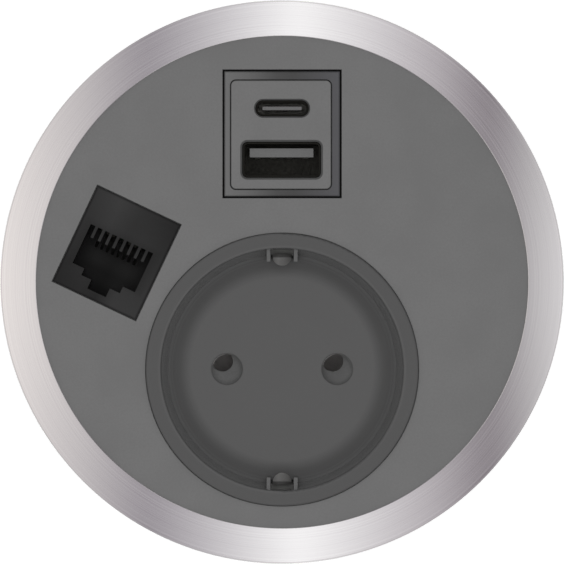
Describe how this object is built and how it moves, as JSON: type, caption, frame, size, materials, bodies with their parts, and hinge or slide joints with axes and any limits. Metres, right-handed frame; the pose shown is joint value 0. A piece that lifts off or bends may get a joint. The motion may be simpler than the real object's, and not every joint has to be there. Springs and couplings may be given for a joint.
{
  "type": "power socket module",
  "caption": "Round desk-mounted power module with an earthed mains socket, USB-A and USB-C charger and a data port, held by a threaded clamp nut.",
  "frame": {"origin": "on the module's axis, level with the desk top under the flange", "axes": "+Z out of the desk along the module's axis, +Y from the mains socket towards the USB charger, +X to the right"},
  "size_m": [0.0965, 0.0964, 0.049],
  "materials": {
    "trim_metal": "satin-polished trim ring",
    "plate_plastic": "fine matt moulded face",
    "housing_plastic": "moulded glass-filled nylon",
    "socket_plastic": "moulded socket insert",
    "shutter_plastic": "moulded shutter",
    "contact_brass": "formed and stamped brass",
    "plated_contact": "nickel-plated spring strip",
    "spring_steel": "spring wire",
    "screw_steel": "zinc-plated screws",
    "washer_steel": "zinc-plated pressed washer",
    "clamp_rubber": "moulded clamp pad",
    "seal_rubber": "black seal",
    "charger_frame_finish": "bevelled satin frame",
    "charger_plastic": "moulded front panel",
    "case_plastic": "moulded case",
    "port_shell": "dark nickel plated shell",
    "tongue_plastic": "moulded port tongue",
    "gold_contact": "gold-plated contact strips",
    "board_laminate": "glass-epoxy circuit board",
    "ferrite": "sintered ferrite",
    "winding_tape": "yellow taped winding",
    "capacitor_can": "sleeved aluminium can",
    "jack_plastic": "moulded data coupler",
    "inlet_plastic": "moulded inlet",
    "live_jacket": "brown insulated lead",
    "neutral_jacket": "blue insulated lead",
    "earth_jacket": "green insulated lead"
  },
  "bodies": {
    "root": {"bezel_ring": "trim_metal", "face_plate": "plate_plastic", "main_housing": "housing_plastic", "rear_cover": "housing_plastic", "cover_screws": "screw_steel", "socket_cup": "socket_plastic", "shutter_spring": "spring_steel", "contact_base": "socket_plastic", "live_contact": "contact_brass", "neutral_contact": "contact_brass", "earth_strap": "contact_brass", "terminal_screws": "screw_steel", "base_screws": "screw_steel", "charger_frame": "charger_frame_finish", "charger_seal": "seal_rubber", "charger_front_panel": "charger_plastic", "charger_case": "case_plastic", "usb_a_shell": "port_shell", "usb_a_tongue": "tongue_plastic", "usb_a_contacts": "gold_contact", "usb_c_shell": "port_shell", "usb_c_tongue": "tongue_plastic", "usb_c_contacts": "gold_contact", "charger_output_board": "board_laminate", "charger_power_board": "board_laminate", "transformer_core": "ferrite", "transformer_winding": "winding_tape", "filter_capacitors": "capacitor_can", "board_link_pins": "plated_contact", "jack_housing": "jack_plastic", "jack_contact_rails": "gold_contact", "jack_board": "board_laminate", "jack_rear_housing": "jack_plastic", "jack_rear_contact_rails": "gold_contact", "inlet_housing": "inlet_plastic", "inlet_pins": "plated_contact", "neutral_lead": "neutral_jacket", "earth_lead": "earth_jacket", "live_lead": "live_jacket", "charger_leads": "live_jacket"},
    "clamp_ring": {"clamp_washer": "washer_steel", "clamp_pad": "clamp_rubber"},
    "nut": {"locking_nut": "housing_plastic"},
    "shutter_body": {"shutter": "shutter_plastic"},
    "clip_upper": {"earth_clip_upper": "plated_contact"},
    "clip_lower": {"earth_clip_lower": "plated_contact"},
    "front_data_contacts": {"jack_contact_springs": "gold_contact"},
    "rear_data_contacts": {"jack_rear_contact_springs": "gold_contact"}
  },
  "joints": [
    {"name": "clamp_slide", "type": "slide", "parent": "root", "child": "clamp_ring", "axis": [0, 0, 1], "range_m": [-0.008, 0.011]},
    {"name": "nut_turn", "type": "hinge", "parent": "clamp_ring", "child": "nut", "pos_m": [0, 0, 0], "axis": [0, 0, 1], "range_deg": [-720, 990]},
    {"name": "shutter_slide", "type": "slide", "parent": "root", "child": "shutter_body", "axis": [0.4939, -0.8695, 0], "range_m": [0, 0.004], "stiffness_N_per_m": 60, "springref_m": -0.001, "deforming": ["shutter_spring"]},
    {"name": "upper_clip_flex", "type": "hinge", "parent": "root", "child": "clip_upper", "pos_m": [0, 0.0056, -0.018], "axis": [-1, 0, 0], "range_deg": [0, 5], "stiffness_Nm_per_rad": 0.05},
    {"name": "lower_clip_flex", "type": "hinge", "parent": "root", "child": "clip_lower", "pos_m": [0, -0.0356, -0.018], "axis": [1, 0, 0], "range_deg": [0, 5], "stiffness_Nm_per_rad": 0.05},
    {"name": "front_contact_flex", "type": "hinge", "parent": "root", "child": "front_data_contacts", "pos_m": [-0.02716, 0.00796, 0], "axis": [0.9041, -0.4274, 0], "range_deg": [0, 14], "stiffness_Nm_per_rad": 0.01},
    {"name": "rear_contact_flex", "type": "hinge", "parent": "root", "child": "rear_data_contacts", "pos_m": [-0.02716, 0.00796, -0.0431], "axis": [-0.9041, 0.4274, 0], "range_deg": [0, 14], "stiffness_Nm_per_rad": 0.01}
  ],
  "couplings": [
    {"joint": "clamp_slide", "follows": "nut_turn", "m_per_rad": 0.00063662}
  ]
}
